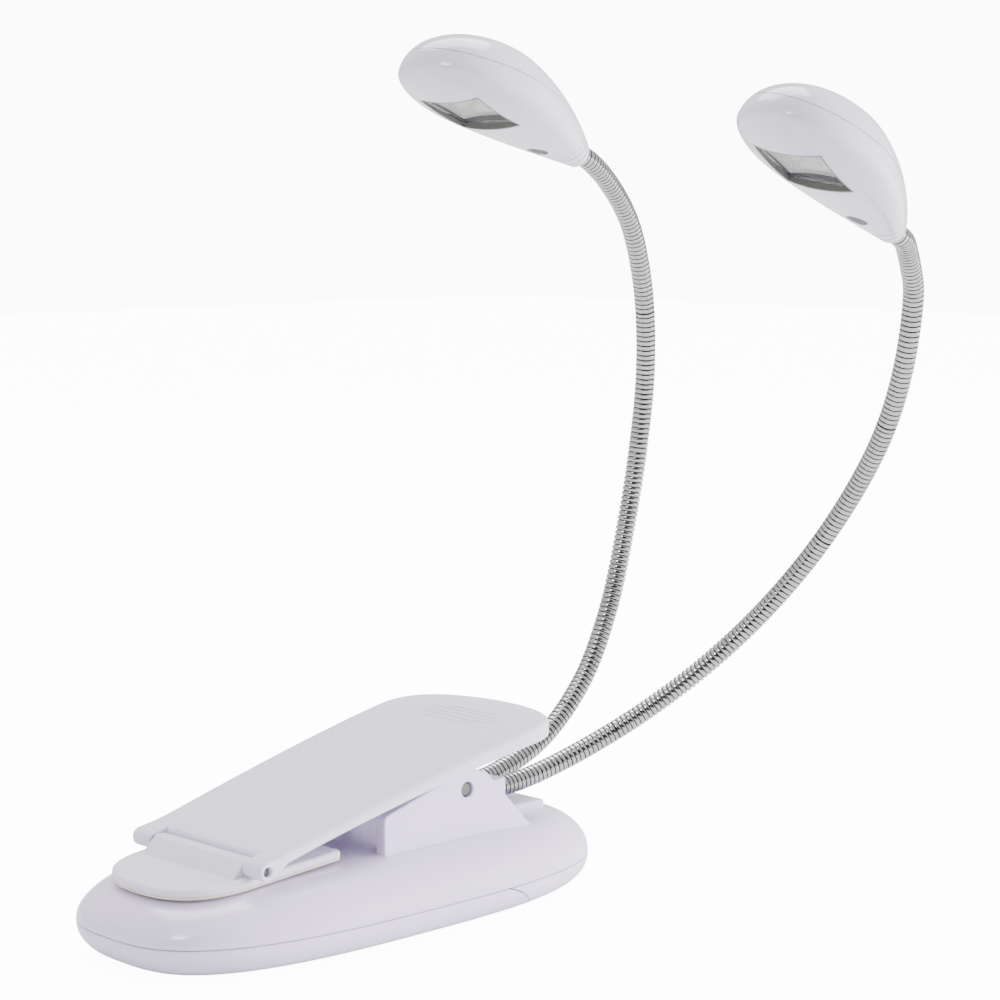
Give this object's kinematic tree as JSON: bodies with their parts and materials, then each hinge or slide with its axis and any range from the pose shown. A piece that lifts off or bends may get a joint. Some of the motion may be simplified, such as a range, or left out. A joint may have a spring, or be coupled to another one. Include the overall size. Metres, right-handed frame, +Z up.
{
  "type": "clip-on reading lamp",
  "caption": "Clip-on reading lamp: oval battery base with a spring clip, bendable steel goosenecks and teardrop LED heads.",
  "frame": {"origin": "centre of the flat underside of the base, at desk level", "axes": "+Z up; -X towards the tip of the clip's jaw; +X towards the end where the goosenecks leave"},
  "size_m": [0.1581, 0.1254, 0.1744],
  "materials": {
    "base_white": "glossy moulded plastic with a faint lavender tint",
    "lever_white": "fine satin moulded plastic",
    "pad_white": "satin moulded plastic",
    "clamp_white": "satin moulded plastic",
    "head_white": "glossy moulded plastic",
    "button_white": "glossy moulded plastic",
    "neck_steel": "nickel-plated wound steel",
    "pin_steel": "dull zinc-plated steel",
    "spring_steel": "bright spring steel",
    "contact_brass": "stamped brass strip",
    "screw_zinc": "zinc-plated",
    "cell_jacket": "printed film jacket over a metal can",
    "wire_red": "insulated stranded wire",
    "wire_black": "insulated stranded wire",
    "lens_clear": "clear moulded window",
    "reflector_silver": "vacuum-metallised",
    "board_green": "solder-masked board",
    "led_warm": "water-clear resin"
  },
  "bodies": {
    "base": {"base_top_shell": "base_white", "base_bottom_shell": "base_white", "battery_cell_1": "cell_jacket", "battery_cell_2": "cell_jacket", "battery_cell_3": "cell_jacket", "contact_spring_1": "spring_steel", "contact_spring_2": "spring_steel", "contact_spring_3": "spring_steel", "contact_plate_front": "contact_brass", "contact_plate_rear": "spring_steel", "base_screw_1": "screw_zinc", "base_screw_2": "screw_zinc", "base_screw_3": "screw_zinc", "base_screw_4": "screw_zinc", "neck_clamp": "clamp_white", "wire_a": "wire_red", "wire_b": "wire_black", "clip_pivot_pin": "pin_steel", "clip_spring": "spring_steel", "neck_a_1": "neck_steel", "neck_b_1": "neck_steel"},
    "door": {"battery_door": "base_white"},
    "lever": {"clip_lever": "lever_white", "jaw_pad_pin": "pin_steel"},
    "pad": {"jaw_pad": "pad_white"},
    "neck_a_2": {"neck_a_2": "neck_steel"},
    "neck_a_3": {"neck_a_3": "neck_steel"},
    "neck_a_4": {"neck_a_4": "neck_steel"},
    "neck_a_5": {"neck_a_5": "neck_steel"},
    "head_a": {"neck_a_6": "neck_steel", "head_a_collar": "head_white", "head_a_top_shell": "head_white", "head_a_bottom_shell": "head_white", "head_a_lens": "lens_clear", "head_a_reflector": "reflector_silver", "head_a_led_board": "board_green", "head_a_led_1": "led_warm", "head_a_led_2": "led_warm", "head_a_screw": "screw_zinc"},
    "button_a": {"head_a_button": "button_white"},
    "neck_b_2": {"neck_b_2": "neck_steel"},
    "neck_b_3": {"neck_b_3": "neck_steel"},
    "neck_b_4": {"neck_b_4": "neck_steel"},
    "neck_b_5": {"neck_b_5": "neck_steel"},
    "head_b": {"neck_b_6": "neck_steel", "head_b_collar": "head_white", "head_b_top_shell": "head_white", "head_b_bottom_shell": "head_white", "head_b_lens": "lens_clear", "head_b_reflector": "reflector_silver", "head_b_led_board": "board_green", "head_b_led_1": "led_warm", "head_b_led_2": "led_warm", "head_b_screw": "screw_zinc"},
    "button_b": {"head_b_button": "button_white"}
  },
  "joints": [
    {"name": "lever_pivot", "type": "hinge", "parent": "base", "child": "lever", "pos_m": [0.0157, 0, 0.0261], "axis": [0, 1, 0], "range_deg": [0, 16], "stiffness_Nm_per_rad": 0.25, "springref_deg": -34.38, "deforming": ["clip_spring"]},
    {"name": "pad_pivot", "type": "hinge", "parent": "lever", "child": "pad", "pos_m": [-0.0357, 0, 0.0188], "axis": [0, 1, 0], "range_deg": [-8, 0]},
    {"name": "door_slide", "type": "slide", "parent": "base", "child": "door", "axis": [1, 0, 0], "range_m": [0, 0.01]},
    {"name": "neck_a_bend_1", "type": "hinge", "parent": "base", "child": "neck_a_2", "pos_m": [0.05442, 0.00334, 0.02409], "axis": [-0.1813, 0.9692, 0.1668], "range_deg": [-20, 20]},
    {"name": "neck_a_bend_2", "type": "hinge", "parent": "neck_a_2", "child": "neck_a_3", "pos_m": [0.07648, 0.00408, 0.04301], "axis": [-0.813, -0.2431, 0.5291], "range_deg": [-12, 20]},
    {"name": "neck_a_bend_3", "type": "hinge", "parent": "neck_a_3", "child": "neck_a_4", "pos_m": [0.08748, 0.00452, 0.07218], "axis": [-0.1813, 0.9692, 0.1668], "range_deg": [-20, 20]},
    {"name": "neck_a_bend_4", "type": "hinge", "parent": "neck_a_4", "child": "neck_a_5", "pos_m": [0.0893, 0.00114, 0.10316], "axis": [-0.9773, -0.1587, -0.14], "range_deg": [-12, 20]},
    {"name": "neck_a_bend_5", "type": "hinge", "parent": "neck_a_5", "child": "head_a", "pos_m": [0.07908, -0.00576, 0.13159], "axis": [-0.1813, 0.9692, 0.1668], "range_deg": [-20, 20]},
    {"name": "head_a_press", "type": "slide", "parent": "head_a", "child": "button_a", "axis": [-0.3347, -0.0239, -0.942], "range_m": [0, 0.0008], "stiffness_N_per_m": 250, "springref_m": -0.0005},
    {"name": "neck_b_bend_1", "type": "hinge", "parent": "base", "child": "neck_b_2", "pos_m": [0.05475, -0.00587, 0.0232], "axis": [0.1035, 0.85, 0.5165], "range_deg": [-20, 20]},
    {"name": "neck_b_bend_2", "type": "hinge", "parent": "neck_b_2", "child": "neck_b_3", "pos_m": [0.07856, -0.01699, 0.03693], "axis": [-0.7454, -0.2776, 0.6061], "range_deg": [-20, 12]},
    {"name": "neck_b_bend_3", "type": "hinge", "parent": "neck_b_3", "child": "neck_b_4", "pos_m": [0.09389, -0.03403, 0.05861], "axis": [0.1035, 0.85, 0.5165], "range_deg": [-20, 20]},
    {"name": "neck_b_bend_4", "type": "hinge", "parent": "neck_b_4", "child": "neck_b_5", "pos_m": [0.09772, -0.05232, 0.08406], "axis": [-0.9918, 0.1275, -0.0111], "range_deg": [-20, 12]},
    {"name": "neck_b_bend_5", "type": "hinge", "parent": "neck_b_5", "child": "head_b", "pos_m": [0.09197, -0.06789, 0.11099], "axis": [0.1035, 0.85, 0.5165], "range_deg": [-20, 20]},
    {"name": "head_b_press", "type": "slide", "parent": "head_b", "child": "button_b", "axis": [-0.4552, 0.1037, -0.8843], "range_m": [0, 0.0008], "stiffness_N_per_m": 250, "springref_m": -0.0005}
  ],
  "couplings": [
    {"joint": "pad_pivot", "follows": "lever_pivot", "ratio": -0.5}
  ]
}
